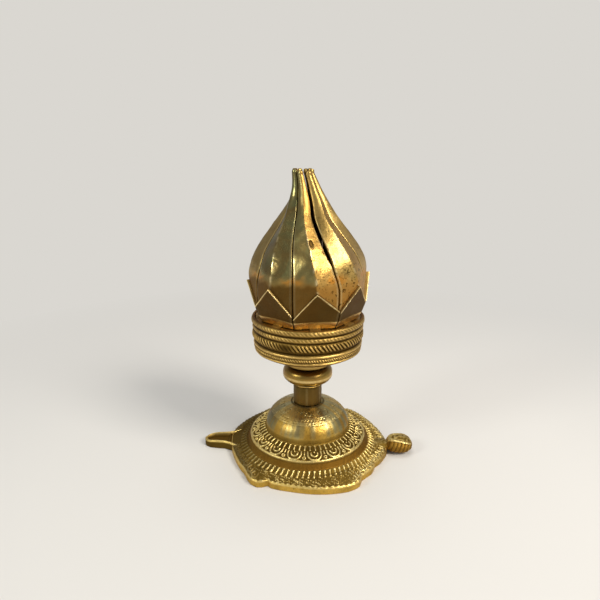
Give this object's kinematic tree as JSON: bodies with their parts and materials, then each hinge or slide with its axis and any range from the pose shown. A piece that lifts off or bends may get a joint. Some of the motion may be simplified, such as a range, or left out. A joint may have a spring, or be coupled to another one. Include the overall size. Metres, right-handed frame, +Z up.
{
  "type": "lotus oil lamp",
  "caption": "Brass lotus diya: twisting the bud on its base opens the hinged petals and lifts the oil cup; cast tiered foot with spout and bud lugs.",
  "frame": {"origin": "centre of the base's resting plane, on the turning axis", "axes": "+Z up along the turning axis; the spout lug points to -X and the bud lug to +X; the picture looks along +Y"},
  "size_m": [0.116, 0.0838, 0.1517],
  "materials": {
    "cast_brass": "as cast, lightly polished, dark in the recesses",
    "petal_brass": "polished cast brass with tarnish",
    "collar_brass": "cast and turned, tarnished between the beads",
    "turned_brass": "turned, worn polish",
    "steel": "plain turned steel",
    "cotton": "twisted cotton"
  },
  "bodies": {
    "base": {"base_casting": "cast_brass", "base_washer": "steel", "base_nut": "steel", "spindle": "steel", "retaining_washer": "steel", "retaining_nut": "steel"},
    "head": {"stem": "turned_brass", "collar_cup": "collar_brass", "collar_lock_nut": "turned_brass", "petal_ring": "turned_brass", "guide_post_1": "steel", "guide_post_2": "steel", "hinge_pin_1": "steel", "hinge_pin_2": "steel", "hinge_pin_3": "steel", "hinge_pin_4": "steel", "hinge_pin_5": "steel", "hinge_pin_6": "steel", "hinge_pin_7": "steel", "hinge_pin_8": "steel"},
    "lifter": {"lift_nut": "turned_brass", "lift_plate": "turned_brass", "oil_cup": "turned_brass", "wick_holder": "turned_brass", "wick": "cotton"},
    "petal_body_1": {"petal_1": "petal_brass"},
    "petal_body_2": {"petal_2": "petal_brass"},
    "petal_body_3": {"petal_3": "petal_brass"},
    "petal_body_4": {"petal_4": "petal_brass"},
    "petal_body_5": {"petal_5": "petal_brass"},
    "petal_body_6": {"petal_6": "petal_brass"},
    "petal_body_7": {"petal_7": "petal_brass"},
    "petal_body_8": {"petal_8": "petal_brass"}
  },
  "joints": [
    {"name": "head_turn", "type": "hinge", "parent": "base", "child": "head", "pos_m": [0, 0, 0.0288], "axis": [0, 0, 1], "range_deg": [0, 720]},
    {"name": "cup_lift", "type": "slide", "parent": "head", "child": "lifter", "axis": [0, 0, 1], "range_m": [0, 0.00978]},
    {"name": "petal_1_hinge", "type": "hinge", "parent": "head", "child": "petal_body_1", "pos_m": [0.00498, -0.02562, 0.0769], "axis": [0.9816, 0.1908, 0], "range_deg": [0, 80]},
    {"name": "petal_2_hinge", "type": "hinge", "parent": "head", "child": "petal_body_2", "pos_m": [0.02164, -0.0146, 0.0769], "axis": [0.5592, 0.829, 0], "range_deg": [0, 80]},
    {"name": "petal_3_hinge", "type": "hinge", "parent": "head", "child": "petal_body_3", "pos_m": [0.02562, 0.00498, 0.0769], "axis": [-0.1908, 0.9816, 0], "range_deg": [0, 80]},
    {"name": "petal_4_hinge", "type": "hinge", "parent": "head", "child": "petal_body_4", "pos_m": [0.0146, 0.02164, 0.0769], "axis": [-0.829, 0.5592, 0], "range_deg": [0, 80]},
    {"name": "petal_5_hinge", "type": "hinge", "parent": "head", "child": "petal_body_5", "pos_m": [-0.00498, 0.02562, 0.0769], "axis": [-0.9816, -0.1908, 0], "range_deg": [0, 80]},
    {"name": "petal_6_hinge", "type": "hinge", "parent": "head", "child": "petal_body_6", "pos_m": [-0.02164, 0.0146, 0.0769], "axis": [-0.5592, -0.829, 0], "range_deg": [0, 80]},
    {"name": "petal_7_hinge", "type": "hinge", "parent": "head", "child": "petal_body_7", "pos_m": [-0.02562, -0.00498, 0.0769], "axis": [0.1908, -0.9816, 0], "range_deg": [0, 80]},
    {"name": "petal_8_hinge", "type": "hinge", "parent": "head", "child": "petal_body_8", "pos_m": [-0.0146, -0.02164, 0.0769], "axis": [0.829, -0.5592, 0], "range_deg": [0, 80]}
  ],
  "couplings": [
    {"joint": "cup_lift", "follows": "head_turn", "m_per_rad": 0.00077742},
    {"joint": "petal_1_hinge", "follows": "head_turn", "ratio": 0.1111},
    {"joint": "petal_2_hinge", "follows": "head_turn", "ratio": 0.1111},
    {"joint": "petal_3_hinge", "follows": "head_turn", "ratio": 0.1111},
    {"joint": "petal_4_hinge", "follows": "head_turn", "ratio": 0.1111},
    {"joint": "petal_5_hinge", "follows": "head_turn", "ratio": 0.1111},
    {"joint": "petal_6_hinge", "follows": "head_turn", "ratio": 0.1111},
    {"joint": "petal_7_hinge", "follows": "head_turn", "ratio": 0.1111},
    {"joint": "petal_8_hinge", "follows": "head_turn", "ratio": 0.1111}
  ]
}
